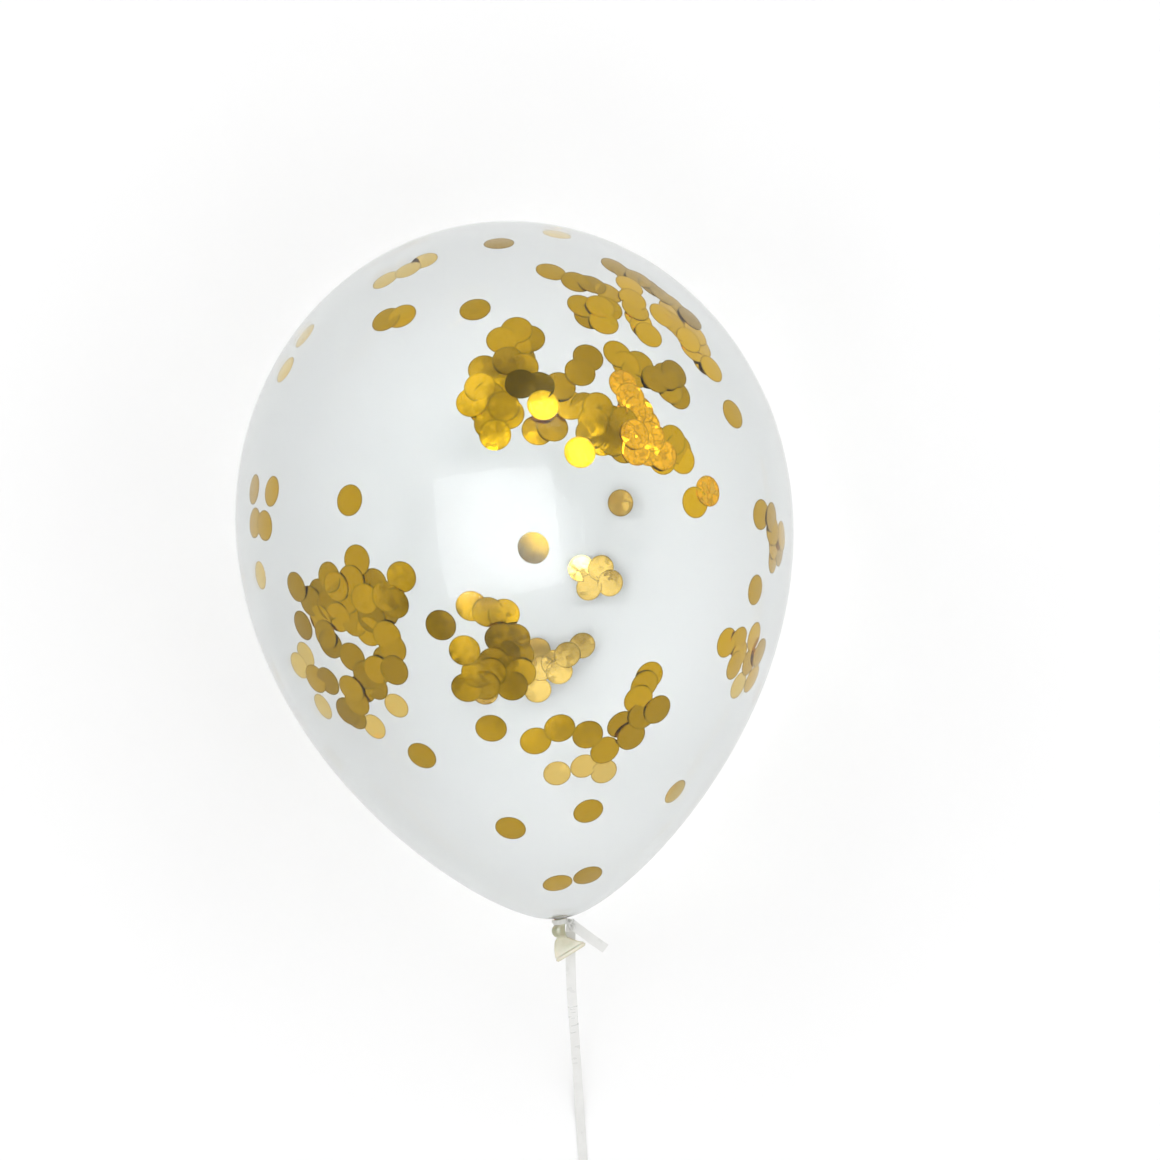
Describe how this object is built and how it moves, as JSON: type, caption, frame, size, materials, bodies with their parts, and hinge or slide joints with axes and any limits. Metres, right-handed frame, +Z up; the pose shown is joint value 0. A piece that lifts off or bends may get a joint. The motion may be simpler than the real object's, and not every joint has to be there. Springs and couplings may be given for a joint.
{
  "type": "confetti balloon",
  "caption": "Clear latex party balloon with foil confetti inside, tied at the neck, with a curling ribbon that ends in a hand loop, lying on its side.",
  "frame": {"origin": "middle of the small flat spot that the balloon lies on, under its widest girth", "axes": "+Y along the balloon's axis towards the crown, the neck and the ribbon towards -Y, +Z up"},
  "size_m": [0.281, 0.5678, 0.2788],
  "materials": {
    "clear_latex": "polished",
    "curling_ribbon": "satin",
    "gold_foil": "polished"
  },
  "bodies": {
    "root": {"balloon": "clear_latex", "ribbon_tie": "curling_ribbon", "ribbon": "curling_ribbon", "ribbon_loop": "curling_ribbon"}
  },
  "joints": []
}
